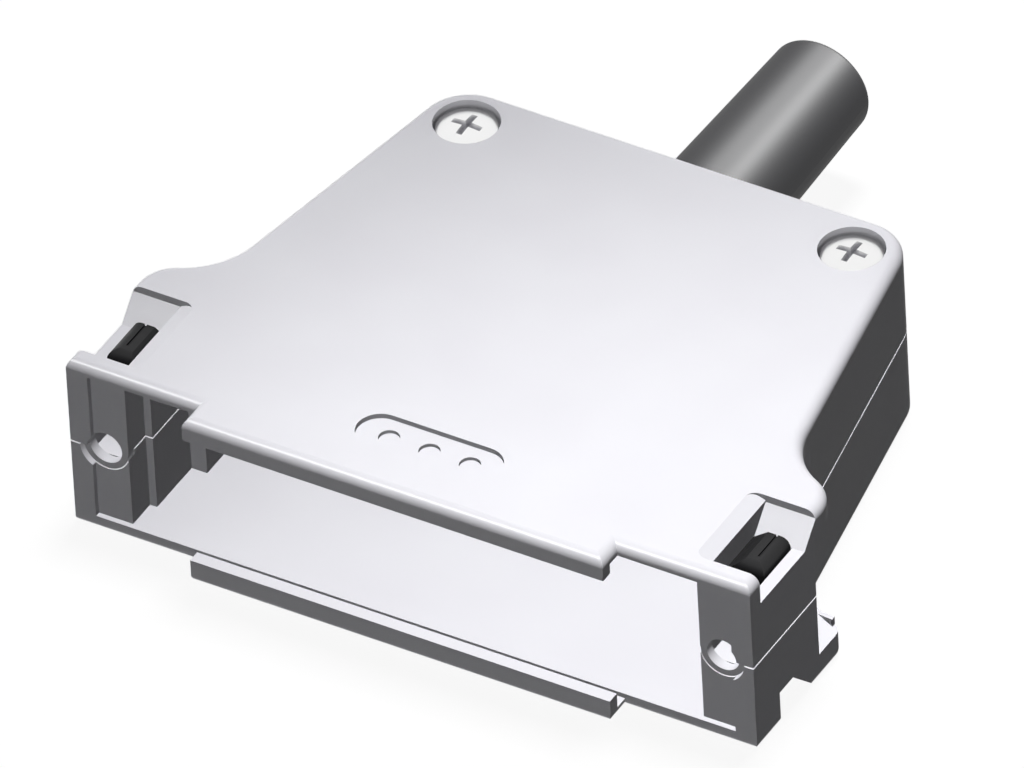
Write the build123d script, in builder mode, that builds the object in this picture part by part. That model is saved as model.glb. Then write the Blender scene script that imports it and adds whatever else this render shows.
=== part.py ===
"""A die-cast metal hood for a 50-way D-sub connector, in two shells.

Frame: the origin is midway between the two jackscrew holes, on the parting plane, in the plane of the
ears' front edges. +X is to the right seen from the connector, +Y runs back to the cable, +Z is up.
All lengths are in millimetres.
"""

import os
from math import cos, radians, sin, tan

from build123d import *

# The connector that the hood takes
jackscrew_spacing = 61.11
jackscrew_hole_d = 3.2
flange_height = 15.4
flange_groove = 1.3

# Outside of the two shells, with the sideways sizes taken from the jackscrew axis
half_height = 9.0
body_length = 48.0
ear_outside = 3.25
taper_outside = 0.75
taper_deg = 10.0
shoulder_y = 14.65
shoulder_deg = 64.5
top_shoulder_radius = 3.6
bottom_shoulder_radius = 1.4
waist_radius = 7.3
back_corner_radius = 4.4
top_edge_radius = 1.0
bottom_edge_radius = 0.6
side_wall = 1.8
back_wall = 1.8
parting_gap = 0.15

# Lips that hook over the connector flange
lip_half_width = 20.8
lip_thickness = 1.2
lip_overlap = 1.0
web_thickness = 0.8

# Ears, with the sideways sizes taken from the jackscrew axis
ear_length = 10.9
ear_front_wall = 1.75
ear_back_wall = 1.6
face_setback = 0.5
face_edge = 1.15
mouth_edge = 2.25
slot_outside = 2.05
slot_inside = 2.15
slot_half_height = 6.1
window_inside = 1.65
step_y = 3.4
step_width = 0.7
throat_y = 9.3
throat_step = 1.55

# Shelf in each slot, under the jackscrew and in front of the slide
shelf_depth = 1.8
shelf_length = 2.75

# Finger pocket on top of each ear
pocket_side_width = 1.45
pocket_side_depth = 0.6
pocket_back_depth = 0.75
pocket_depth = 2.94
pocket_ramp = 2.1
pocket_corner_radius = 1.0

# Notch under each ear
notch_offset = 2.35
notch_length = 2.3
notch_depth = 3.3
notch_ramp = 3.4
notch_radius = 1.6

# Open bay behind each ear, between the shoulder plates
shoulder_plate = 2.5
bay_wall = 1.5
bay_corner_radius = 1.2
rim_start_x = 31.0
rim_end_x = 33.0
rim_height = 0.8
rim_thickness = 0.45

# Half-round tongues of the top shell round each jackscrew hole
tongue_radius = 2.2
tongue_thickness = 0.9
tongue_gap = 0.12
recess_radius = 1.9

# Case screws
screw_d = 3.0
screw_clearance = 0.15
thread_clearance = 0.02
screw_head_d = 5.5
screw_head_height = 1.5
screw_head_dome = 0.4
screw_recess_d = 6.0
screw_recess_depth = 1.7
screw_length = 12.0
tapped_depth = 7.2
boss_radius = 3.7
cross_span = 2.9
cross_width = 0.62
cross_depth = 0.9

# Window with three dimples on top
window_length = 14.1
window_width = 4.3
window_y = 4.05
window_depth = 0.5
dimple_d = 1.9
dimple_pitch = 4.0
dimple_depth = 0.35

# Overlapping rim of the two shells
lap_front = 22.0
lap_height = 0.8
lap_width = 0.7
lap_gap = 0.1

# Cable outlet: saddle, crimp flange, ferrule and boot
saddle_half_width = 9.0
saddle_length = 5.7
collar_d = 12.6
collar_thickness = 1.5
collar_inset = 1.1
tube_d = 7.8
tube_bore_d = 6.4
tube_length = 17.5
ferrule_d = 9.2
ferrule_wall = 0.6
ferrule_length = 12.5
boot_d = 10.9
boot_end_d = 9.65
boot_reach = 23.55
boot_root = 3.4
boot_collar_d = 12.6
boot_collar_inset = 0.8
boot_collar_thickness = 1.2
boot_socket_d = 9.5
boot_socket_depth = 14.0
boot_cable_d = 6.6
boot_end_radius = 0.5
fit_gap = 0.05

# Retaining slides for the jackscrews
slide_length = 4.6
slide_half_height = 7.1
slide_clearance = 0.1
slide_thread_d = 2.5
slide_bevel_width = 1.35
slide_bevel_height = 1.0
slide_edge_radius = 0.9
groove_offset = 0.69
groove_width = 0.22
groove_depth = 0.2
groove_length = 3.2

# Worked out from the sizes above
over = 1.0
taper = tan(radians(taper_deg))
slant = cos(radians(taper_deg))
jackscrew_x = jackscrew_spacing / 2
ear_x = jackscrew_x + ear_outside
mouth_x = jackscrew_x - mouth_edge
slot_outer_x = jackscrew_x + slot_outside
slot_inner_x = jackscrew_x - slot_inside
window_inner_x = jackscrew_x - window_inside
pocket_inner_x = window_inner_x - pocket_side_width
step_x = mouth_x - step_width
throat_x = step_x - throat_step
bay_x = throat_x + bay_wall
floor_z = flange_height / 2
lip_z = floor_z - lip_overlap
lip_front = -(flange_groove + lip_thickness)
rim_z = parting_gap / 2
slot_back = ear_length - ear_back_wall
slot_length = slot_back - ear_front_wall
tongue_back = face_setback + tongue_thickness
bay_z = half_height - shoulder_plate
cavity_back = body_length - back_wall
side_wall_x = side_wall / slant
saddle_front = cavity_back - saddle_length
outlet_front = body_length - boot_root
slide_back = slot_back - slide_clearance
slide_travel = slot_length - slide_length - 2 * slide_clearance


def taper_x(y):
    """Half width of the tapered outside at a distance y behind the ears."""
    return jackscrew_x + taper_outside - taper * y


def shoulder_corner():
    """Where the slanted flank of the shoulder would meet the tapered side."""
    run = sin(radians(shoulder_deg))
    rise = cos(radians(shoulder_deg))
    t = (ear_x - taper_x(shoulder_y)) / (run - taper * rise)
    return (ear_x - t * run, shoulder_y + t * rise)


def lap_strip(gap):
    """Corners of the overlapping rim along the right side, grown by a gap."""
    front = lap_front - gap
    back = screw_y - boss_radius - over + gap
    inner = side_wall_x + gap
    outer = side_wall_x - lap_width - gap
    return (
        (taper_x(front) - inner, front),
        (taper_x(front) - outer, front),
        (taper_x(back) - outer, back),
        (taper_x(back) - inner, back),
    )


# The case screws stand at the centres of the rounded back corners
screw_y = body_length - back_corner_radius
screw_x = taper_x(screw_y) - back_corner_radius / slant
screw_places = ((-screw_x, screw_y), (screw_x, screw_y))

# Outline of each shell seen from above
plan_outlines = {}
for shell_name, shoulder_radius in (("top", top_shoulder_radius), ("bottom", bottom_shoulder_radius)):
    with BuildSketch() as plan_outline:
        with BuildLine():
            FilletPolyline(
                (ear_x, 0),
                (ear_x, shoulder_y),
                shoulder_corner(),
                (taper_x(body_length), body_length),
                (0, body_length),
                radius=(shoulder_radius, waist_radius, back_corner_radius),
            )
            Line((0, body_length), (0, 0))
            Line((0, 0), (ear_x, 0))
        make_face()
        mirror(about=Plane.YZ)
    plan_outlines[shell_name] = plan_outline.sketch

# Outline of the space inside, round the screw bosses and the cable saddle
with BuildSketch() as cavity_outline:
    with BuildLine():
        Polyline(
            (0, 0),
            (mouth_x, 0),
            (mouth_x, step_y),
            (step_x, step_y),
            (step_x, throat_y),
            (throat_x, throat_y),
            (throat_x, (jackscrew_x + taper_outside - side_wall_x - throat_x) / taper),
            (taper_x(cavity_back) - side_wall_x, cavity_back),
            (0, cavity_back),
            close=True,
        )
    make_face()
    mirror(about=Plane.YZ)
    with Locations(*screw_places):
        Circle(boss_radius, mode=Mode.SUBTRACT)
    with Locations((0, saddle_front)):
        Rectangle(
            2 * saddle_half_width,
            saddle_length + over,
            align=(Align.CENTER, Align.MIN),
            mode=Mode.SUBTRACT,
        )

# Overlapping rim: strips along both sides and along the back
laps = {}
for lap_name, gap in (("tongue", 0), ("groove", lap_gap)):
    with BuildSketch() as lap:
        with BuildLine():
            Polyline(*lap_strip(gap), close=True)
        make_face()
        lap_left = saddle_half_width + over - gap
        lap_right = screw_x - boss_radius - over / 2 + gap
        with Locations((lap_left, cavity_back - gap)):
            Rectangle(
                lap_right - lap_left, lap_width + 2 * gap, align=(Align.MIN, Align.MIN)
            )
        mirror(about=Plane.YZ)
    laps[lap_name] = lap.sketch

# Seats for the crimp flange and the boot, turned about the cable's axis
with BuildPart() as outlet_bore:
    with BuildSketch(Plane.XY):
        with BuildLine():
            Polyline(
                (0, saddle_front - over),
                (tube_d / 2 + fit_gap, saddle_front - over),
                (tube_d / 2 + fit_gap, saddle_front + collar_inset),
                (collar_d / 2 + fit_gap, saddle_front + collar_inset),
                (collar_d / 2 + fit_gap, saddle_front + collar_inset + collar_thickness + fit_gap),
                (tube_d / 2 + fit_gap, saddle_front + collar_inset + collar_thickness + fit_gap),
                (tube_d / 2 + fit_gap, outlet_front - fit_gap),
                (boot_d / 2 + fit_gap, outlet_front - fit_gap),
                (boot_d / 2 + fit_gap, outlet_front + boot_collar_inset),
                (boot_collar_d / 2 + fit_gap, outlet_front + boot_collar_inset),
                (
                    boot_collar_d / 2 + fit_gap,
                    outlet_front + boot_collar_inset + boot_collar_thickness + fit_gap,
                ),
                (
                    boot_d / 2 + fit_gap,
                    outlet_front + boot_collar_inset + boot_collar_thickness + fit_gap,
                ),
                (boot_d / 2 + fit_gap, body_length + over),
                (0, body_length + over),
                close=True,
            )
        make_face()
    revolve(axis=Axis.Y)

# Everything that is open in one ear and behind it
with BuildPart() as ear_space:
    # Set-back front face
    with Locations((mouth_x, 0, -floor_z)):
        Box(
            jackscrew_x + face_edge - mouth_x,
            face_setback,
            2 * floor_z,
            align=(Align.MIN, Align.MIN, Align.MIN),
        )
    # Slot for the slide, and its narrower windows above and below
    with Locations((slot_inner_x, ear_front_wall, -slot_half_height)):
        Box(
            slot_outer_x - slot_inner_x,
            slot_length,
            2 * slot_half_height,
            align=(Align.MIN, Align.MIN, Align.MIN),
        )
    with Locations((window_inner_x, ear_front_wall, -half_height - over)):
        Box(
            slot_outer_x - window_inner_x,
            slot_length,
            2 * (half_height + over),
            align=(Align.MIN, Align.MIN, Align.MIN),
        )
    # Bay behind the ear
    with BuildSketch(Plane.XY.offset(-bay_z)) as bay:
        bay_depth = (jackscrew_x + taper_outside - bay_x) / taper + over - ear_length
        with Locations((bay_x, ear_length)):
            Rectangle(ear_x + over - bay_x, bay_depth, align=(Align.MIN, Align.MIN))
        fillet(bay.vertices().group_by(Axis.X)[0].sort_by(Axis.Y)[0], radius=bay_corner_radius)
    extrude(amount=2 * bay_z)

# Finger pocket on top of the ear: slanted side, ramp at the back, lowered outer wall
with BuildPart() as ear_pocket:
    with BuildSketch(Plane.XZ.offset(-ear_front_wall)):
        with BuildLine():
            Polyline(
                (pocket_inner_x, half_height),
                (window_inner_x, half_height - pocket_side_depth),
                (window_inner_x, half_height - pocket_depth),
                (ear_x + over, half_height - pocket_depth),
                (ear_x + over, half_height + over),
                (pocket_inner_x, half_height + over),
                close=True,
            )
        make_face()
    extrude(amount=-(slot_length + pocket_ramp))
    # Stock left standing under the ramp
    with BuildSketch(Plane.YZ.offset(window_inner_x)):
        with BuildLine():
            Polyline(
                (slot_back, half_height - pocket_depth - over),
                (slot_back, half_height - pocket_depth),
                (slot_back + pocket_ramp, half_height - pocket_back_depth),
                (slot_back + pocket_ramp + over, half_height - pocket_back_depth),
                (slot_back + pocket_ramp + over, half_height - pocket_depth - over),
                close=True,
            )
        make_face()
    extrude(amount=ear_x + 2 * over - window_inner_x, mode=Mode.SUBTRACT)
    # Rounded inner corners
    with BuildSketch(Plane.XY.offset(half_height - pocket_depth - over)) as pocket_plan:
        with Locations((pocket_inner_x, ear_front_wall)):
            Rectangle(
                ear_x + over - pocket_inner_x,
                slot_length + pocket_ramp,
                align=(Align.MIN, Align.MIN),
            )
        fillet(pocket_plan.vertices().group_by(Axis.X)[0], radius=pocket_corner_radius)
    extrude(amount=pocket_depth + 3 * over, mode=Mode.INTERSECT)

# Notch under the ear, with a ramp that runs out into the underside in a round
with BuildPart() as ear_notch:
    with BuildSketch(Plane.YZ.offset(window_inner_x)) as notch_profile:
        with BuildLine():
            Polyline(
                (ear_front_wall + notch_offset, -half_height - over),
                (ear_front_wall + notch_offset, -half_height + notch_depth),
                (ear_front_wall + notch_offset + notch_length, -half_height + notch_depth),
                (ear_front_wall + notch_offset + notch_length + notch_ramp, -half_height),
                (ear_length + over, -half_height),
                (ear_length + over, -half_height - over),
                close=True,
            )
        make_face()
        fillet(notch_profile.vertices().group_by(Axis.Y)[1].sort_by(Axis.X)[0], radius=notch_radius)
    extrude(amount=ear_x + over - window_inner_x)

# Shelf under the jackscrew, as wide as the slot
with BuildPart() as ear_shelf:
    with Locations((slot_inner_x, ear_front_wall, -half_height)):
        Box(
            slot_outer_x - slot_inner_x,
            shelf_length,
            half_height - shelf_depth,
            align=(Align.MIN, Align.MIN, Align.MIN),
        )

# Low rim on the lower shoulder plate, rising outwards along the slanted flank
flank_corner = shoulder_corner()
with BuildPart() as plate_rim:
    with BuildSketch(Plane.XZ.offset(rim_thickness - shoulder_y)):
        with BuildLine():
            Polyline(
                (rim_start_x, -bay_z),
                (rim_end_x, -bay_z),
                (rim_end_x, -bay_z + rim_height),
                close=True,
            )
        make_face()
    extrude(amount=shoulder_y - rim_thickness - flank_corner[1])
    with BuildSketch(Plane.XY.offset(-half_height)):
        with BuildLine():
            Polyline(
                (ear_x, shoulder_y - rim_thickness),
                (ear_x, shoulder_y),
                flank_corner,
                (flank_corner[0], flank_corner[1] - rim_thickness),
                close=True,
            )
        make_face()
    extrude(amount=half_height, mode=Mode.INTERSECT)

# Top shell
with BuildPart() as top_shell:
    with BuildSketch(Plane.XY.offset(rim_z)):
        add(plan_outlines["top"])
    extrude(amount=half_height - rim_z)
    with BuildSketch(Plane.XY.offset(lip_z)):
        with Locations((0, lip_front)):
            Rectangle(2 * lip_half_width, over - lip_front, align=(Align.CENTER, Align.MIN))
    extrude(amount=half_height - lip_z)
    fillet(top_shell.faces().sort_by(Axis.Z)[-1].edges(), radius=top_edge_radius)

    # Space inside and the groove behind the lip
    with BuildSketch(Plane.XY):
        add(cavity_outline.sketch)
    extrude(amount=floor_z, mode=Mode.SUBTRACT)
    with BuildSketch(Plane.XY):
        with Locations((0, -flange_groove)):
            Rectangle(2 * lip_half_width + over, flange_groove, align=(Align.CENTER, Align.MIN))
    extrude(amount=floor_z, mode=Mode.SUBTRACT)

    # Ears
    for cut in (ear_space, ear_pocket):
        add(cut.part, mode=Mode.SUBTRACT)
        add(mirror(cut.part, about=Plane.YZ, mode=Mode.PRIVATE), mode=Mode.SUBTRACT)
    for wall_front, wall_back in ((face_setback, tongue_back), (slot_back, ear_length)):
        with BuildSketch(Plane.XZ.offset(-wall_front)):
            with Locations((-jackscrew_x, 0), (jackscrew_x, 0)):
                Circle(tongue_radius)
        extrude(amount=wall_front - wall_back)
    with BuildSketch(Plane.XZ):
        with Locations((-jackscrew_x, 0), (jackscrew_x, 0)):
            Circle(jackscrew_hole_d / 2)
    extrude(amount=-(ear_length + over / 2), mode=Mode.SUBTRACT)
    with BuildSketch(Plane.XZ.offset(-tongue_back)):
        with Locations((-jackscrew_x, 0), (jackscrew_x, 0)):
            Circle(recess_radius)
    extrude(amount=tongue_back - ear_front_wall, mode=Mode.SUBTRACT)

    # Faces that meet the bottom shell at the bosses and the saddle
    with BuildSketch(Plane.XY):
        with Locations(*screw_places):
            Circle(boss_radius)
        with Locations((0, saddle_front)):
            Rectangle(2 * saddle_half_width, saddle_length, align=(Align.CENTER, Align.MIN))
    extrude(amount=rim_z)

    # Screw holes with their recesses
    with Locations(*((x, y, half_height) for x, y in screw_places)):
        CounterBoreHole(
            radius=screw_d / 2 + screw_clearance,
            counter_bore_radius=screw_recess_d / 2,
            counter_bore_depth=screw_recess_depth,
            depth=half_height + over,
        )

    # Window with three dimples
    with BuildSketch(Plane.XY.offset(half_height)):
        with Locations((0, window_y)):
            SlotOverall(window_length, window_width)
    extrude(amount=-window_depth, mode=Mode.SUBTRACT)
    with BuildSketch(Plane.XY.offset(half_height - window_depth)):
        with Locations((0, window_y)):
            with GridLocations(dimple_pitch, dimple_pitch, 3, 1):
                Circle(dimple_d / 2)
    extrude(amount=-dimple_depth, mode=Mode.SUBTRACT)

    # Cable seat and the groove of the overlapping rim
    add(outlet_bore.part, mode=Mode.SUBTRACT)
    with BuildSketch(Plane.XY):
        add(laps["groove"])
    extrude(amount=lap_height + lap_gap, mode=Mode.SUBTRACT)
top_shell.part.label = "top_shell"

# Bottom shell
with BuildPart() as bottom_shell:
    with BuildSketch(Plane.XY.offset(-half_height)):
        add(plan_outlines["bottom"])
    extrude(amount=half_height - rim_z)
    with BuildSketch(Plane.XY.offset(-half_height)):
        with Locations((0, lip_front)):
            Rectangle(2 * lip_half_width, over - lip_front, align=(Align.CENTER, Align.MIN))
    extrude(amount=half_height - lip_z)
    fillet(bottom_shell.faces().sort_by(Axis.Z)[0].edges(), radius=bottom_edge_radius)

    # Space inside and the groove behind the lip
    with BuildSketch(Plane.XY):
        add(cavity_outline.sketch)
    extrude(amount=-floor_z, mode=Mode.SUBTRACT)
    with BuildSketch(Plane.XY):
        with Locations((0, -flange_groove)):
            Rectangle(2 * lip_half_width + over, flange_groove, align=(Align.CENTER, Align.MIN))
    extrude(amount=web_thickness - half_height, mode=Mode.SUBTRACT)

    # Ears
    for form, way in (
        (ear_space, Mode.SUBTRACT),
        (ear_shelf, Mode.ADD),
        (ear_notch, Mode.SUBTRACT),
        (plate_rim, Mode.ADD),
    ):
        add(form.part, mode=way)
        add(mirror(form.part, about=Plane.YZ, mode=Mode.PRIVATE), mode=way)

    # Notches for the top shell's tongues, and the lower half of the recess behind the front one
    for cut_front, cut_back, cut_radius in (
        (0, tongue_back + tongue_gap, tongue_radius + tongue_gap),
        (0, ear_front_wall, recess_radius),
        (slot_back, ear_length + over / 2, tongue_radius + tongue_gap),
    ):
        with BuildSketch(Plane.XZ.offset(-cut_front)):
            with Locations((-jackscrew_x, 0), (jackscrew_x, 0)):
                Circle(cut_radius)
        extrude(amount=cut_front - cut_back, mode=Mode.SUBTRACT)

    # Faces that meet the top shell at the bosses and the saddle
    with BuildSketch(Plane.XY):
        with Locations(*screw_places):
            Circle(boss_radius)
        with Locations((0, saddle_front)):
            Rectangle(2 * saddle_half_width, saddle_length, align=(Align.CENTER, Align.MIN))
    extrude(amount=-rim_z)

    # Tapped holes, cable seat and the tongue of the overlapping rim
    with Locations(*((x, y, 0) for x, y in screw_places)):
        Hole(radius=screw_d / 2 + thread_clearance, depth=tapped_depth)
    add(outlet_bore.part, mode=Mode.SUBTRACT)
    with BuildSketch(Plane.XY.offset(-rim_z)):
        add(laps["tongue"])
    extrude(amount=rim_z + lap_height)
bottom_shell.part.label = "bottom_shell"

# Case screw, a pan head with a cross recess
seat_z = half_height - screw_recess_depth
with BuildPart() as case_screw:
    with BuildSketch(Plane.XZ):
        with BuildLine():
            edge_z = seat_z + screw_head_height - screw_head_dome
            Polyline(
                (0, seat_z + screw_head_height),
                (0, seat_z - screw_length),
                (screw_d / 2 - screw_d / 8, seat_z - screw_length),
                (screw_d / 2, seat_z - screw_length + screw_d / 8),
                (screw_d / 2, seat_z),
                (screw_head_d / 2, seat_z),
                (screw_head_d / 2, edge_z),
            )
            ThreePointArc(
                (screw_head_d / 2, edge_z),
                (screw_head_d / 4, edge_z + 0.75 * screw_head_dome),
                (0, seat_z + screw_head_height),
            )
        make_face()
    revolve(axis=Axis.Z)
    with BuildSketch(Plane.XY.offset(seat_z + screw_head_height)):
        Rectangle(cross_span, cross_width)
        Rectangle(cross_width, cross_span)
    extrude(amount=-cross_depth, taper=12, mode=Mode.SUBTRACT)

# Crimp flange: a collar held by both shells, and the tube that the braid is crimped on
collar_front = saddle_front + collar_inset
with BuildPart() as crimp_flange:
    with BuildSketch(Plane.XY):
        with BuildLine():
            Polyline(
                (tube_bore_d / 2, saddle_front),
                (tube_d / 2, saddle_front),
                (tube_d / 2, collar_front),
                (collar_d / 2, collar_front),
                (collar_d / 2, collar_front + collar_thickness),
                (tube_d / 2, collar_front + collar_thickness),
                (tube_d / 2, saddle_front + tube_length),
                (tube_bore_d / 2, saddle_front + tube_length),
                close=True,
            )
        make_face()
    revolve(axis=Axis.Y)
crimp_flange.part.label = "crimp_flange"

# Crimp ferrule over the tube
with BuildPart() as crimp_ferrule:
    with BuildSketch(Plane.XY):
        with Locations((ferrule_d / 2, outlet_front)):
            Rectangle(ferrule_wall, ferrule_length, align=(Align.MAX, Align.MIN))
    revolve(axis=Axis.Y)
crimp_ferrule.part.label = "crimp_ferrule"

# Cable boot, with a collar between the shells
boot_end = body_length + boot_reach
socket_end = outlet_front + boot_socket_depth
with BuildPart() as cable_boot:
    with BuildSketch(Plane.XY) as boot_section:
        with BuildLine():
            Polyline(
                (boot_socket_d / 2, outlet_front),
                (boot_d / 2, outlet_front),
                (boot_d / 2, outlet_front + boot_collar_inset),
                (boot_collar_d / 2, outlet_front + boot_collar_inset),
                (boot_collar_d / 2, outlet_front + boot_collar_inset + boot_collar_thickness),
                (boot_d / 2, outlet_front + boot_collar_inset + boot_collar_thickness),
                (boot_d / 2, body_length),
                (boot_end_d / 2, boot_end),
                (boot_cable_d / 2, boot_end),
                (boot_cable_d / 2, socket_end + (boot_socket_d - boot_cable_d) / 2),
                (boot_socket_d / 2, socket_end),
                close=True,
            )
        make_face()
        end_corners = boot_section.vertices().group_by(Axis.Y)[-1]
        fillet(end_corners.sort_by(Axis.X)[-1], radius=boot_end_radius)
    revolve(axis=Axis.Y)
cable_boot.part.label = "cable_boot"

# Retaining slide: a block in the ear's slot with a tapped hole and a grip at both ends
block_inner_x = slot_inner_x + slide_clearance
block_outer_x = slot_outer_x - slide_clearance
grip_inner_x = window_inner_x + slide_clearance
block_z = slot_half_height - slide_clearance
with BuildPart() as screw_slide:
    with BuildSketch(Plane.XZ.offset(-slide_back)) as slide_profile:
        with BuildLine():
            Polyline(
                (block_inner_x, 0),
                (block_inner_x, block_z),
                (grip_inner_x, block_z),
                (grip_inner_x, slide_half_height - slide_bevel_height),
                (grip_inner_x + slide_bevel_width, slide_half_height),
                (block_outer_x, slide_half_height),
                (block_outer_x, 0),
                close=True,
            )
        make_face()
        outer_corner = slide_profile.vertices().group_by(Axis.X)[-1].sort_by(Axis.Y)[-1]
        fillet(outer_corner, radius=slide_edge_radius)
        mirror(about=Plane.XZ)
        with Locations((jackscrew_x, 0)):
            Circle(slide_thread_d / 2, mode=Mode.SUBTRACT)
    extrude(amount=slide_length)
    # Rounded front edges of the two grips
    with BuildSketch(Plane.YZ.offset(block_inner_x - over)) as slide_side:
        with Locations((slide_back - slide_length / 2, 0)):
            Rectangle(slide_length, 2 * slide_half_height)
        fillet(slide_side.vertices().group_by(Axis.X)[0], radius=slide_edge_radius)
    extrude(amount=block_outer_x - block_inner_x + 2 * over, mode=Mode.INTERSECT)
    # Cut back below, where the shelf stands in its way
    with Locations((slot_inner_x, slide_back - slide_length, slide_clearance - shelf_depth)):
        Box(
            slot_outer_x - slot_inner_x,
            shelf_length,
            slide_half_height,
            align=(Align.MIN, Align.MIN, Align.MAX),
            mode=Mode.SUBTRACT,
        )
    # One fine groove in each grip, which ends before the rounded edge
    with BuildSketch(Plane.XZ.offset(-slide_back)):
        with Locations(
            (jackscrew_x + groove_offset, slide_half_height),
            (jackscrew_x + groove_offset, -slide_half_height),
        ):
            Rectangle(groove_width, 2 * groove_depth)
    extrude(amount=groove_length, mode=Mode.SUBTRACT)

os.makedirs("parts", exist_ok=True)
for node in (top_shell, bottom_shell, crimp_flange, crimp_ferrule, cable_boot):
    export_step(node.part, f"parts/{node.part.label}.step")
for side, sign in (("left", -1), ("right", 1)):
    screw = case_screw.part.moved(Location((sign * screw_x, screw_y, 0)))
    screw.label = f"case_screw_{side}"
    export_step(screw, f"parts/{screw.label}.step")
    slide = screw_slide.part if sign > 0 else screw_slide.part.mirror(Plane.YZ)
    slide.label = f"screw_slide_{side}"
    export_step(slide, f"parts/{slide.label}.step")

print("slide travel", round(slide_travel, 3))
print("screw place", round(screw_x, 3), round(screw_y, 3))
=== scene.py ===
# %% [markdown]
# # A die-cast hood for a D-sub connector
#
# The hood is two thin metal shells that close round the back of a wide, flat connector. Two ears at the
# front carry the jackscrews, a black slide in each ear holds its jackscrew's neck, and a soft black boot at
# the back guides the cable. The solids come from a CAD model, at their real size. They could be modelled
# again here with softer forms, but the real hood is made as exactly as they are drawn. So this lesson
# leaves every shape alone. It gives each piece the surface that its making left on it, and then lights the
# whole as in a small product studio.

# %% Load the solids
from math import atan, cos, radians, sin

import bpy
from mathutils import Matrix, Vector


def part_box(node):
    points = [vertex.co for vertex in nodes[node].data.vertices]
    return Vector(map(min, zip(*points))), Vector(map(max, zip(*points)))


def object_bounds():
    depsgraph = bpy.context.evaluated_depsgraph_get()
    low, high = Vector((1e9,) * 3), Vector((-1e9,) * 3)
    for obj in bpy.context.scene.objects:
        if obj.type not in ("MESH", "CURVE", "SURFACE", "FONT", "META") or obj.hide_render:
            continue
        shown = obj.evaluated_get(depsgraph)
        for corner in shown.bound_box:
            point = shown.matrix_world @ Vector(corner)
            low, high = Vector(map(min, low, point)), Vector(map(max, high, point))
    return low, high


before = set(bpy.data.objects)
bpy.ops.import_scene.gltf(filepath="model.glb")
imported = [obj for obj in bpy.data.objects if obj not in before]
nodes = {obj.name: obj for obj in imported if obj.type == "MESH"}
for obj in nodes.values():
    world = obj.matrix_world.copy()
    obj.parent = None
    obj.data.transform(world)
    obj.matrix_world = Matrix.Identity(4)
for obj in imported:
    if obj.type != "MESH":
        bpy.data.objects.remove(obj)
cad_low, cad_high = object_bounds()
print("solids:", ", ".join(sorted(nodes)))

# %% [markdown]
# ## Units
#
# Blender counts in metres, and a connector is better thought of in millimetres. Blender's unit settings
# change what its panels show, but not what a script has to type. So one value turns millimetres into
# metres, and every size below can be read as it would stand on a drawing.

# %% Millimetres
MM = 0.001


def size_in_mm(low, high):
    """The three sides of a box in millimetres."""
    return [round((b - a) / MM, 2) for a, b in zip(low, high)]


print("the hood measures", size_in_mm(cad_low, cad_high), "mm")

# %% [markdown]
# ## The camera
#
# The picture that this scene follows is a parallel view, as a CAD program draws it: edges that are
# parallel on the hood stay parallel in the picture. Blender's orthographic camera would draw just that. A
# very long lens, as a photographer would use, comes within three pixels of it from far away. It was chosen
# because it still behaves like a real camera when a viewer moves it round the hood. The three angles were
# worked out from the hood's own three directions in the picture: how far the camera stands to the right,
# how high, and how far it leans to one side.

# %% The camera's three directions
camera_azimuth = radians(32.03)
camera_elevation = radians(39.47)
camera_lean = radians(3.27)

towards_camera = Vector((
    sin(camera_azimuth) * cos(camera_elevation),
    -cos(camera_azimuth) * cos(camera_elevation),
    sin(camera_elevation),
))
level_right = Vector((cos(camera_azimuth), sin(camera_azimuth), 0))
level_up = towards_camera.cross(level_right)
picture_right = cos(camera_lean) * level_right + sin(camera_lean) * -level_up
picture_up = cos(camera_lean) * level_up + sin(camera_lean) * level_right
print("towards the camera:", [round(value, 3) for value in towards_camera])

# %% The camera itself
LENS_MM = 1200
SENSOR_MM = 36
FRAME_WIDTH_MM = 87.65
AIM_RIGHT_MM = 8.70
AIM_UP_MM = 14.56

camera_distance = FRAME_WIDTH_MM * LENS_MM / SENSOR_MM * MM
aim = AIM_RIGHT_MM * MM * picture_right + AIM_UP_MM * MM * picture_up
camera_data = bpy.data.cameras.new("product_camera")
camera_data.lens = LENS_MM
camera_data.sensor_width = SENSOR_MM
camera = bpy.data.objects.new("product_camera", camera_data)
turn = Matrix((picture_right, picture_up, towards_camera)).transposed()
camera.matrix_world = turn.to_4x4()
camera.location = aim + camera_distance * towards_camera
bpy.context.scene.collection.objects.link(camera)
bpy.context.scene.camera = camera
bpy.context.scene.view_settings.view_transform = "Standard"
print("the camera stands", round(camera_distance, 2), "m away")

# %% [markdown]
# ## Helpers for materials
#
# A material is a small graph of nodes. It can be wired by hand in the shader editor, but a script can be
# read, and it makes the same graph each time. Two things repeat in it. A colour has to be turned from the
# sRGB hex value that a colour picker shows to the linear value that light is counted in, and each node
# needs its settings and its links. One function does each, and a third opens an empty material.

# %% Colours
def linear(hex_colour):
    """Linear RGBA of an sRGB colour such as '#c8c8cc'."""
    channels = [int(hex_colour[i:i + 2], 16) / 255 for i in (1, 3, 5)]
    values = [c / 12.92 if c <= 0.04045 else ((c + 0.055) / 1.055) ** 2.4 for c in channels]
    return (*values, 1.0)


WHITE = linear("#ffffff")
print("white is", WHITE)

# %% Nodes
def add_node(tree, kind, settings=None, inputs=None, links=None):
    """A node with its settings, its input values and its links from other nodes' outputs."""
    node = tree.nodes.new(kind)
    for name, value in (settings or {}).items():
        setattr(node, name, value)
    for name, value in (inputs or {}).items():
        node.inputs[name].default_value = value
    for name, output in (links or {}).items():
        tree.links.new(output, node.inputs[name])
    return node


def new_material(name):
    """An empty node material and its tree."""
    material = bpy.data.materials.new(name)
    material.use_nodes = True
    material.node_tree.nodes.clear()
    return material, material.node_tree


print("materials before this lesson's own:", len(bpy.data.materials))

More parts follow.
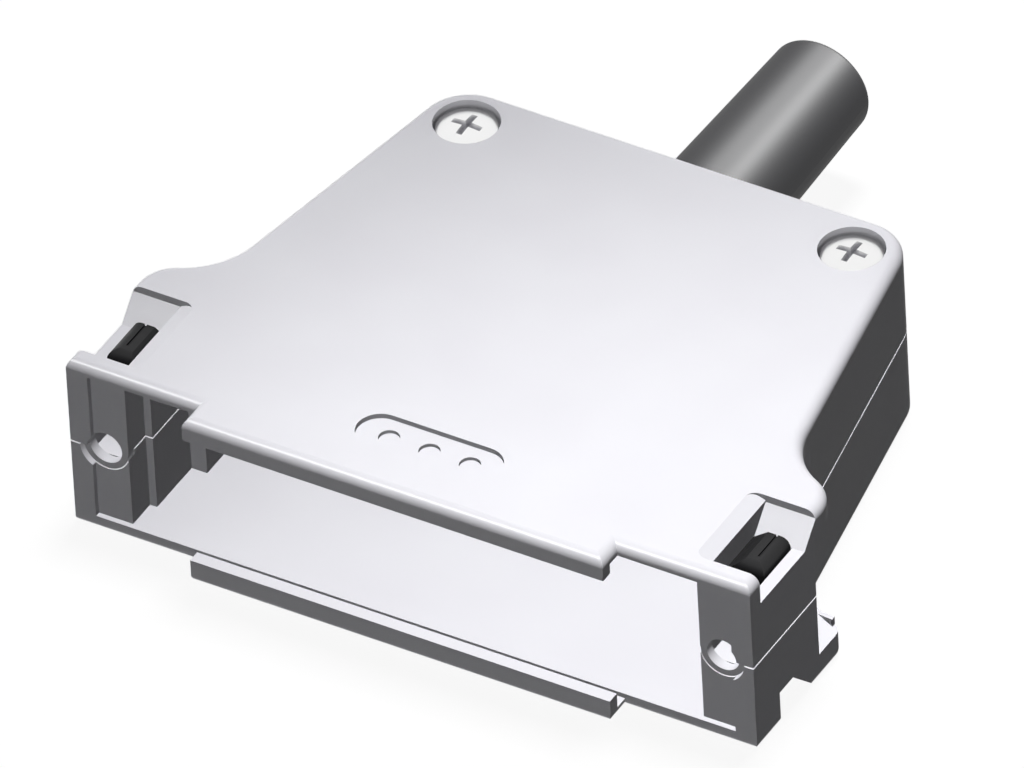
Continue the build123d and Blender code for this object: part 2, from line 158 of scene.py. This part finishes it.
# %% [markdown]
# ## The shells: zinc, pressure die-cast and lacquered
#
# Molten zinc is pressed into a polished steel mould, and the casting is tumbled and sprayed with a pale,
# faintly cool grey lacquer. The eye gets an even satin skin, with a very fine, soft grain from the tumbled
# metal under it, and a tone that drifts a little from place to place with the lacquer's thickness.
#
# The grain could be cut into the mesh, but that would cost millions of triangles. Noise textures were
# chosen, because their size can be set in millimetres, and a bump node turns them into light and shade on
# the shape as it is. The real grain is about 0.1 mm wide, too fine to show here, so it is drawn at
# 0.35 mm. Lacquer is no metal, so it has no metallic part, and an IOR of 1.5. A matting powder in it leaves
# very little of its mirror-like shine. A weak coat over the colour stands for the rest of that shine, and
# draws a fine bright line along each rounded edge.

# %% Values for the shells
SHELL_GREY = "#e8e8ed"
SHELL_GREY_COOLER = "#e2e1e7"
GRAIN_MM = 0.35
GRAIN_DEPTH_MM = 0.02
DRIFT_MM = 9.0
NOISE_LOW, NOISE_HIGH = 0.3, 0.7  # most of a noise texture's values lie between these
print("grains across the shell:", round(size_in_mm(cad_low, cad_high)[0] / GRAIN_MM))

# %% Material for the shells
def satin_lacquered_zinc():
    """Die-cast zinc under a pale satin lacquer."""
    material, tree = new_material("satin_lacquered_zinc")
    place = add_node(tree, "ShaderNodeNewGeometry")
    grain = add_node(
        tree, "ShaderNodeTexNoise",
        inputs={"Scale": 1 / (GRAIN_MM * MM), "Detail": 2.0, "Roughness": 0.55},
        links={"Vector": place.outputs["Position"]},
    )
    drift = add_node(
        tree, "ShaderNodeTexNoise",
        inputs={"Scale": 1 / (DRIFT_MM * MM), "Detail": 1.0, "Roughness": 0.4},
        links={"Vector": place.outputs["Position"]},
    )
    colour = add_node(
        tree, "ShaderNodeMix", settings={"data_type": "RGBA"}, links={"Factor": drift.outputs["Fac"]},
    )
    colour.inputs["A"].default_value = linear(SHELL_GREY)
    colour.inputs["B"].default_value = linear(SHELL_GREY_COOLER)
    roughness = add_node(
        tree, "ShaderNodeMapRange",
        inputs={"From Min": NOISE_LOW, "From Max": NOISE_HIGH, "To Min": 0.42, "To Max": 0.52},
        links={"Value": grain.outputs["Fac"]},
    )
    fine_bump = add_node(
        tree, "ShaderNodeBump",
        inputs={"Strength": 0.12, "Distance": GRAIN_DEPTH_MM * MM},
        links={"Height": grain.outputs["Fac"]},
    )
    lacquer = add_node(
        tree, "ShaderNodeBsdfPrincipled",
        inputs={
            "Metallic": 0.0, "IOR": 1.5, "Specular IOR Level": 0.01,
            "Coat Weight": 0.06, "Coat Roughness": 0.3, "Coat IOR": 1.5,
        },
        links={
            "Base Color": colour.outputs["Result"],
            "Roughness": roughness.outputs["Result"],
            "Normal": fine_bump.outputs["Normal"],
        },
    )
    add_node(tree, "ShaderNodeOutputMaterial", links={"Surface": lacquer.outputs["BSDF"]})
    return material


shell_finish = satin_lacquered_zinc()
print("made", shell_finish.name)

# %% [markdown]
# ## The case screws: zinc-plated steel
#
# Each head is struck cold from wire and plated bright. Its dome is smooth, with a trace of round tool
# marks. The cross recess is painted a darker grey, as painted shade where the recess keeps light out.
#
# The marks are a hundredth of a millimetre deep, so they are no job for the mesh. They could come from a
# wave texture, whose rings would need a turned and moved set of coordinates. Measuring each point's
# distance from the screw's axis is simpler, and a ping-pong node folds that distance into rings. The same
# distance, together with the depth below the dome, tells where the recess and its painted shade are. Steel
# is a metal, so its
# colour sits in its reflection, it keeps the default IOR, and its roughness is low.

# %% Values for the screws
SCREW_STEEL = "#f2f2f2"
# The second colour is painted shade for the cross recess, not a different metal.
RECESS_PAINTED_SHADE = "#dcdcde"
TOOL_MARK_MM = 0.22
TOOL_MARK_DEPTH_MM = 0.01
RECESS_DEPTHS_MM = (0.2, 0.4)  # below the dome: where the painted shade starts, and where it is full
RECESS_REACHES_MM = (1.5, 1.7)  # from the axis: where it is still full, and where it has ended
screw_places = {side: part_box(f"case_screw_{side}") for side in ("left", "right")}
for side, (low, high) in screw_places.items():
    print("case screw", side, "measures", size_in_mm(low, high), "mm")

# %% Material for the screws
def bright_zinc_plated_steel(name, axis_place, dome_top):
    """Struck and plated steel, with rings round the vertical axis at a place and painted shade in the cross
    recess.
    """
    material, tree = new_material(name)
    place = add_node(tree, "ShaderNodeNewGeometry")
    from_axis = add_node(
        tree, "ShaderNodeVectorMath", settings={"operation": "SUBTRACT"},
        inputs={1: axis_place}, links={0: place.outputs["Position"]},
    )
    flat = add_node(
        tree, "ShaderNodeVectorMath", settings={"operation": "MULTIPLY"},
        inputs={1: (1, 1, 0)}, links={0: from_axis.outputs["Vector"]},
    )
    distance = add_node(
        tree, "ShaderNodeVectorMath", settings={"operation": "LENGTH"}, links={0: flat.outputs["Vector"]},
    )
    rings = add_node(
        tree, "ShaderNodeMath", settings={"operation": "PINGPONG"},
        inputs={1: TOOL_MARK_MM * MM}, links={0: distance.outputs["Value"]},
    )
    height = add_node(
        tree, "ShaderNodeMath", settings={"operation": "DIVIDE"},
        inputs={1: TOOL_MARK_MM * MM}, links={0: rings.outputs["Value"]},
    )
    bump = add_node(
        tree, "ShaderNodeBump",
        inputs={"Strength": 0.25, "Distance": TOOL_MARK_DEPTH_MM * MM},
        links={"Height": height.outputs["Value"]},
    )
    level = add_node(tree, "ShaderNodeSeparateXYZ", links={"Vector": place.outputs["Position"]})
    recess_start, recess_full = (dome_top - depth * MM for depth in RECESS_DEPTHS_MM)
    below_dome = add_node(
        tree, "ShaderNodeMapRange",
        inputs={"From Min": recess_start, "From Max": recess_full}, links={"Value": level.outputs["Z"]},
    )
    reach_full, reach_end = (reach * MM for reach in RECESS_REACHES_MM)
    near_axis = add_node(
        tree, "ShaderNodeMapRange",
        inputs={"From Min": reach_end, "From Max": reach_full},
        links={"Value": distance.outputs["Value"]},
    )
    # Mask of the cross recess, where the darker grey is painted as shade.
    recess_painted_shade = add_node(
        tree, "ShaderNodeMath", settings={"operation": "MULTIPLY"},
        links={0: below_dome.outputs["Result"], 1: near_axis.outputs["Result"]},
    )
    # The darker grey in the recess is painted shade.
    colour = add_node(
        tree, "ShaderNodeMix", settings={"data_type": "RGBA"}, links={"Factor": recess_painted_shade.outputs["Value"]},
    )
    colour.inputs["A"].default_value = linear(SCREW_STEEL)
    colour.inputs["B"].default_value = linear(RECESS_PAINTED_SHADE)
    steel = add_node(
        tree, "ShaderNodeBsdfPrincipled", inputs={"Metallic": 1.0, "Roughness": 0.24},
        links={"Base Color": colour.outputs["Result"], "Normal": bump.outputs["Normal"]},
    )
    add_node(tree, "ShaderNodeOutputMaterial", links={"Surface": steel.outputs["BSDF"]})
    return material


screw_finishes = {}
for side, (low, high) in screw_places.items():
    screw_name = f"bright_zinc_plated_steel_{side}"
    screw_finishes[side] = bright_zinc_plated_steel(screw_name, (low + high) / 2, high.z)
print("made", [finish.name for finish in screw_finishes.values()])

# %% [markdown]
# ## The slides: black nylon
#
# Nylon fills a mould well and comes out with a soft, slightly uneven shine. One roughness for the whole
# piece would be the quick way, and would look like a drawing of plastic. Here a noise texture moves the
# roughness up and down a little in patches of 0.6 mm, as cooling does, and the same patches lift the
# surface by a trace. Nylon is a plastic, so it has no metallic part, and an IOR of 1.53.

# %% Material for the slides
NYLON_BLACK = "#2a2a2b"
NYLON_PATCH_MM = 0.6
NYLON_PATCH_DEPTH_MM = 0.02


def moulded_black_nylon():
    """Injection-moulded nylon."""
    material, tree = new_material("moulded_black_nylon")
    place = add_node(tree, "ShaderNodeNewGeometry")
    patches = add_node(
        tree, "ShaderNodeTexNoise",
        inputs={"Scale": 1 / (NYLON_PATCH_MM * MM), "Detail": 3.0},
        links={"Vector": place.outputs["Position"]},
    )
    roughness = add_node(
        tree, "ShaderNodeMapRange",
        inputs={"From Min": NOISE_LOW, "From Max": NOISE_HIGH, "To Min": 0.32, "To Max": 0.46},
        links={"Value": patches.outputs["Fac"]},
    )
    bump = add_node(
        tree, "ShaderNodeBump",
        inputs={"Strength": 0.15, "Distance": NYLON_PATCH_DEPTH_MM * MM},
        links={"Height": patches.outputs["Fac"]},
    )
    nylon = add_node(
        tree, "ShaderNodeBsdfPrincipled",
        inputs={"Base Color": linear(NYLON_BLACK), "IOR": 1.53, "Specular IOR Level": 0.15},
        links={"Roughness": roughness.outputs["Result"], "Normal": bump.outputs["Normal"]},
    )
    add_node(tree, "ShaderNodeOutputMaterial", links={"Surface": nylon.outputs["BSDF"]})
    return material


slide_finish = moulded_black_nylon()
print("made", slide_finish.name)

# %% [markdown]
# ## The boot: soft black PVC
#
# The boot is moulded in PVC with much plasticiser in it, so that it bends with the cable. It is black all
# through, and its skin takes the polish of the mould, dulled by the plasticiser: a long, soft highlight
# runs down it. A painted stripe would give the same picture from one side only. The highlight comes from
# the shader's roughness and from two lamps further down, so it moves as it should when the camera does. A
# grain of 0.4 mm keeps the skin from looking like glass.

# %% Material for the boot
PVC_BLACK = "#111112"
PVC_GRAIN_MM = 0.4
PVC_GRAIN_DEPTH_MM = 0.02


def soft_black_pvc():
    """Moulded plasticised PVC."""
    material, tree = new_material("soft_black_pvc")
    place = add_node(tree, "ShaderNodeNewGeometry")
    grain = add_node(
        tree, "ShaderNodeTexNoise",
        inputs={"Scale": 1 / (PVC_GRAIN_MM * MM), "Detail": 2.0},
        links={"Vector": place.outputs["Position"]},
    )
    bump = add_node(
        tree, "ShaderNodeBump",
        inputs={"Strength": 0.08, "Distance": PVC_GRAIN_DEPTH_MM * MM},
        links={"Height": grain.outputs["Fac"]},
    )
    pvc = add_node(
        tree, "ShaderNodeBsdfPrincipled",
        inputs={
            "Base Color": linear(PVC_BLACK), "IOR": 1.54, "Specular IOR Level": 0.1, "Roughness": 0.54,
        },
        links={"Normal": bump.outputs["Normal"]},
    )
    add_node(tree, "ShaderNodeOutputMaterial", links={"Surface": pvc.outputs["BSDF"]})
    return material


boot_finish = soft_black_pvc()
print("made", boot_finish.name)

# %% [markdown]
# ## The crimp flange and its ferrule: turned and drawn brass
#
# Both are hidden inside the boot, and show only when someone looks down the cable's hole. The flange is
# turned brass with a nickel plating, and the ferrule is bare drawn tube. Turning and drawing both leave
# fine marks across the cable's axis. A noise texture would look cast instead, so the marks are bands of a
# wave texture along that axis. One function makes both finishes, because only the colour and the roughness
# differ. Brass is a metal, so its colour sits in its reflection and its IOR stays as it is.

# %% Materials for the brass pieces
NICKEL = "#d8d2c6"
BRASS = "#e0c27a"
TURNING_MARK_MM = 0.2
TURNING_MARK_DEPTH_MM = 0.01
WAVE_PERIOD = 0.314  # how far apart a wave texture's bands are at a scale of 1


def brass(name, colour, roughness):
    """Brass with turning marks along the cable's axis."""
    material, tree = new_material(name)
    place = add_node(tree, "ShaderNodeNewGeometry")
    marks = add_node(
        tree, "ShaderNodeTexWave",
        settings={"bands_direction": "Y"},
        inputs={"Scale": WAVE_PERIOD / (TURNING_MARK_MM * MM), "Distortion": 0.4},
        links={"Vector": place.outputs["Position"]},
    )
    bump = add_node(
        tree, "ShaderNodeBump",
        inputs={"Strength": 0.2, "Distance": TURNING_MARK_DEPTH_MM * MM},
        links={"Height": marks.outputs["Fac"]},
    )
    metal = add_node(
        tree, "ShaderNodeBsdfPrincipled",
        inputs={"Base Color": linear(colour), "Metallic": 1.0, "Roughness": roughness},
        links={"Normal": bump.outputs["Normal"]},
    )
    add_node(tree, "ShaderNodeOutputMaterial", links={"Surface": metal.outputs["BSDF"]})
    return material


flange_finish = brass("nickel_plated_turned_brass", NICKEL, roughness=0.3)
ferrule_finish = brass("bare_drawn_brass", BRASS, roughness=0.35)
print("made", flange_finish.name, "and", ferrule_finish.name)

# %% [markdown]
# ## Dressing the solids
#
# Each real piece is made of one material, so each solid gets one finish. It could be given face by face,
# but every solid came with slots for its plain CAD material, and swapping what is in them leaves the mesh
# untouched.

# %% Give each solid its finish
finishes = {
    "top_shell": shell_finish,
    "bottom_shell": shell_finish,
    "case_screw_left": screw_finishes["left"],
    "case_screw_right": screw_finishes["right"],
    "screw_slide_left": slide_finish,
    "screw_slide_right": slide_finish,
    "cable_boot": boot_finish,
    "crimp_flange": flange_finish,
    "crimp_ferrule": ferrule_finish,
}
for node_name, finish in finishes.items():
    slots = nodes[node_name].material_slots
    for slot in slots:
        slot.material = finish
    print(node_name, "wears", finish.name, "on", len(slots), "slots")

# %% [markdown]
# ## White where it is seen
#
# The hood lies in a white studio, and white paper and a white sky would normally light it from all sides.
# Then its dark walls would wash out. Blender can part the two: the Light Path node tells what kind of ray
# has reached a surface. A ray straight from the camera sees it, and so does one that comes by way of a
# mirror or through glass. All others only carry light. The floor and the world both ask that question, so
# one function makes the nodes for it.

# %% Rays that see
def seeing_ray(tree):
    """An output that is 1 for a ray that sees a surface, and 0 for one that only carries its light."""
    path = add_node(tree, "ShaderNodeLightPath")
    camera_or_glossy = add_node(
        tree, "ShaderNodeMath", settings={"operation": "MAXIMUM"},
        links={0: path.outputs["Is Camera Ray"], 1: path.outputs["Is Glossy Ray"]},
    )
    seen = add_node(
        tree, "ShaderNodeMath", settings={"operation": "MAXIMUM"},
        links={0: camera_or_glossy.outputs["Value"], 1: path.outputs["Is Transmission Ray"]},
    )
    return seen.outputs["Value"]


print("rays that see: camera, glossy, transmission")

# %% [markdown]
# ## The floor
#
# The hood lies on a plain pale floor of matt white paper. More lamps could make it white, but they would
# bleach the hood too. So most of its white is its own glow, and the softbox adds the rest: where the hood
# keeps the softbox's light away, a soft shadow is left. To light that bounces it is a dark grey, so that
# the walls of the hood keep their depth. It lies a hair below the hood, because two surfaces at one height
# would flicker, and it is clear from its underside, so that the hood can be looked at from below as well.

# %% Material for the floor
PAPER_WHITE = "#fbfbfb"
PAPER_BOUNCE = "#404040"
PAPER_GLOW = 0.92


def white_paper():
    """Paper that looks white and bounces little light."""
    material, tree = new_material("white_paper")
    seen = seeing_ray(tree)
    lit = add_node(tree, "ShaderNodeBsdfDiffuse", inputs={"Color": linear(PAPER_WHITE)})
    glow = add_node(tree, "ShaderNodeEmission", inputs={"Color": WHITE, "Strength": PAPER_GLOW})
    paper = add_node(
        tree, "ShaderNodeAddShader", links={0: glow.outputs["Emission"], 1: lit.outputs["BSDF"]},
    )
    bounce = add_node(tree, "ShaderNodeBsdfDiffuse", inputs={"Color": linear(PAPER_BOUNCE)})
    upper_face = add_node(
        tree, "ShaderNodeMixShader",
        links={"Fac": seen, 1: bounce.outputs["BSDF"], 2: paper.outputs["Shader"]},
    )
    side = add_node(tree, "ShaderNodeNewGeometry")
    clear = add_node(tree, "ShaderNodeBsdfTransparent")
    both_faces = add_node(
        tree, "ShaderNodeMixShader",
        links={"Fac": side.outputs["Backfacing"], 1: upper_face.outputs["Shader"], 2: clear.outputs["BSDF"]},
    )
    add_node(tree, "ShaderNodeOutputMaterial", links={"Surface": both_faces.outputs["Shader"]})
    return material


paper_finish = white_paper()
print("made", paper_finish.name)

# %% Floor
FLOOR_SIZE = 4.0
FLOOR_GAP_MM = 0.02

half = FLOOR_SIZE / 2
corners = [(-half, -half, 0), (half, -half, 0), (half, half, 0), (-half, half, 0)]
floor_mesh = bpy.data.meshes.new("floor")
floor_mesh.from_pydata(corners, [], [(0, 1, 2, 3)])
floor = bpy.data.objects.new("floor", floor_mesh)
floor.location.z = cad_low.z - FLOOR_GAP_MM * MM
floor.data.materials.append(paper_finish)
bpy.context.scene.collection.objects.link(floor)
print("the floor is at", round(floor.location.z / MM, 2), "mm")

# %% [markdown]
# ## The world
#
# The world stands for the studio's walls and ceiling. A picture of a real studio could be wrapped round the
# scene, but plain white is what the picture shows. It is white where it is seen, and gives a hundredth of
# that as light.

# %% World
WORLD_LIGHT = 0.01


def studio_world():
    """White where it is seen, dim where it lights."""
    world = bpy.data.worlds.new("studio_world")
    world.use_nodes = True
    tree = world.node_tree
    tree.nodes.clear()
    strength = add_node(
        tree, "ShaderNodeMapRange", inputs={"To Min": WORLD_LIGHT, "To Max": 1.0},
        links={"Value": seeing_ray(tree)},
    )
    light = add_node(
        tree, "ShaderNodeBackground", inputs={"Color": WHITE},
        links={"Strength": strength.outputs["Result"]},
    )
    add_node(tree, "ShaderNodeOutputWorld", links={"Surface": light.outputs["Background"]})
    return world


bpy.context.scene.world = studio_world()
print("the world gives", WORLD_LIGHT, "of its white as light")

# %% [markdown]
# ## What each lamp lights
#
# The picture was drawn with light that throws no shadows: each face is as bright as its direction makes
# it, also deep inside the hood. A real studio can't do that, but lamps in Blender can. A lamp without
# shadows that also lit the floor would wash out the hood's own shadow there, and one meant for the boot
# would spill onto the back wall. So each such lamp is linked to the pieces that it is meant for, by a
# collection that holds them.

# %% Groups of pieces to light
def group_to_light(name, node_names):
    """A collection of pieces that a lamp can be linked to, so that it lights nothing else."""
    group = bpy.data.collections.new(name)
    for node_name in node_names:
        group.objects.link(nodes[node_name])
    return group


hood_only = group_to_light("hood_only", nodes)
shells_only = group_to_light("shells_only", ["top_shell", "bottom_shell"])
lower_shell_only = group_to_light("lower_shell_only", ["bottom_shell"])
boot_only = group_to_light("boot_only", ["cable_boot"])

# %% [markdown]
# ## Three kinds of lamp
#
# A studio has large soft lights and small hard ones. Here a sun gives the same light over the whole hood, a
# spot gives a pool of light with a soft edge, and a square area lamp is the softbox. The first two cast no
# shadows and give only direct light: light that bounces about inside the hood would wash out its dark
# walls. All are kept out of reflections at first, because the metal and the plastic are meant to mirror
# the white studio, and a mirrored lamp turns a screw head into a blank disc.

# %% Hanging a lamp
hood_middle = (cad_low + cad_high) / 2


def hang(name, lamp, direction, distance, target):
    """Hangs a lamp in a direction from a target, turned to that target and kept out of reflections."""
    holder = bpy.data.objects.new(name, lamp)
    holder.visible_glossy = False
    outwards = Vector(direction).normalized()
    holder.location = target + distance * outwards
    holder.rotation_mode = "QUATERNION"
    holder.rotation_quaternion = outwards.to_track_quat("Z", "Y")
    bpy.context.scene.collection.objects.link(holder)
    print(name, "hangs", distance, "m away")
    return holder


def light_directly(lamp, holder, lit_pieces):
    """Makes a lamp light some pieces alone, without shadows and without a second bounce."""
    lamp.use_shadow = False
    lamp.cycles.max_bounces = 0
    holder.light_linking.receiver_collection = lit_pieces


print("the middle of the hood is at", [round(value / MM, 2) for value in hood_middle], "mm")

# %% The three kinds
SUN_WIDTH_DEGREES = 4
SUN_DISTANCE = 1.0  # only for the eye: a sun lights from any place alike
SPOT_SOFTNESS = 1 / 50  # the spot lamp's own radius, in widths of its pool of light


def broad_light(name, direction, strength, lit_pieces):
    """Parallel light on some pieces."""
    lamp = bpy.data.lights.new(name, "SUN")
    lamp.energy = strength
    lamp.angle = radians(SUN_WIDTH_DEGREES)
    holder = hang(name, lamp, direction, SUN_DISTANCE, hood_middle)
    light_directly(lamp, holder, lit_pieces)
    return holder


def soft_spot(name, direction, distance, target, lit_width, power, lit_pieces):
    """A spot whose light fades out over a circle of a given width at its target."""
    lamp = bpy.data.lights.new(name, "SPOT")
    lamp.energy = power
    lamp.spot_size = 2 * atan(lit_width / 2 / distance)
    lamp.spot_blend = 1.0
    lamp.shadow_soft_size = lit_width * SPOT_SOFTNESS
    holder = hang(name, lamp, direction, distance, target)
    light_directly(lamp, holder, lit_pieces)
    return holder


def softbox(name, direction, distance, width, power):
    """A square area lamp over the middle of the hood, which casts soft shadows."""
    lamp = bpy.data.lights.new(name, "AREA")
    lamp.shape = "SQUARE"
    lamp.size = width
    lamp.energy = power
    return hang(name, lamp, direction, distance, hood_middle)


print("a sun is", SUN_WIDTH_DEGREES, "degrees wide")

# %% [markdown]
# ## Lamps on the hood
#
# The main lamp is a broad sky straight above, with a little more on the inner floor of the lower shell. A
# weak fill from the front opens the walls that face the camera. Two more keep the back wall and the
# underside clear for someone who walks round the hood. The softbox above is the only lamp that casts
# shadows, and it sets the hood down on the floor. A wide spot brightens the front right corner of the top.
# The last lamp gives gloss alone. It hangs where the rounded front edges mirror it to the camera, and draws
# the bright line along them.

# %% Lamps on the hood
STRAIGHT_UP = (0.0, 0.0, 1.0)
STRAIGHT_DOWN = (0.0, 0.0, -1.0)
top_corner = Vector((42 * MM, -14 * MM, cad_high.z))

broad_light("sky_above", STRAIGHT_UP, strength=1.55, lit_pieces=hood_only)
broad_light("inner_fill", STRAIGHT_UP, strength=0.15, lit_pieces=lower_shell_only)
broad_light("front_fill", (0.27, -0.96, 0.1), strength=0.44, lit_pieces=hood_only)
broad_light("back_fill", (-0.60, 0.75, 0.1), strength=1.0, lit_pieces=hood_only)
broad_light("glow_from_below", STRAIGHT_DOWN, strength=1.5, lit_pieces=hood_only)
softbox("softbox_above", (0.0, 0.2, 1.0), distance=0.6, width=0.15, power=0.32)
soft_spot(
    "corner_spot", STRAIGHT_UP, distance=0.8, target=top_corner, lit_width=196 * MM, power=15.3,
    lit_pieces=hood_only,
)
edge_glint = broad_light("edge_glint", (-0.41, -0.51, 0.77), strength=15.0, lit_pieces=shells_only)
edge_glint.visible_diffuse = False
edge_glint.visible_glossy = True

# %% [markdown]
# ## Lamps on the boot
#
# The boot's long highlight is broader on one side than on the other. One lamp would draw an even stripe, so
# two narrow spots hang side by side behind the hood, the right one stronger, and their stripes run into
# each other. Both show in reflections, since that is all that a highlight is.

# %% Lamps on the boot
BOOT_SPOT_DISTANCE = 0.6
BOOT_SPOT_WIDTH_MM = 60
boot_middle = Vector((0, 62 * MM, 0))
boot_spots = {
    "boot_spot_left": ((-0.20, 0.66, 0.72), 42),
    "boot_spot_right": ((0.30, 0.66, 0.69), 112),
}
for spot_name, (direction, power) in boot_spots.items():
    spot = soft_spot(
        spot_name, direction, BOOT_SPOT_DISTANCE, boot_middle, BOOT_SPOT_WIDTH_MM * MM, power, boot_only,
    )
    spot.visible_glossy = True
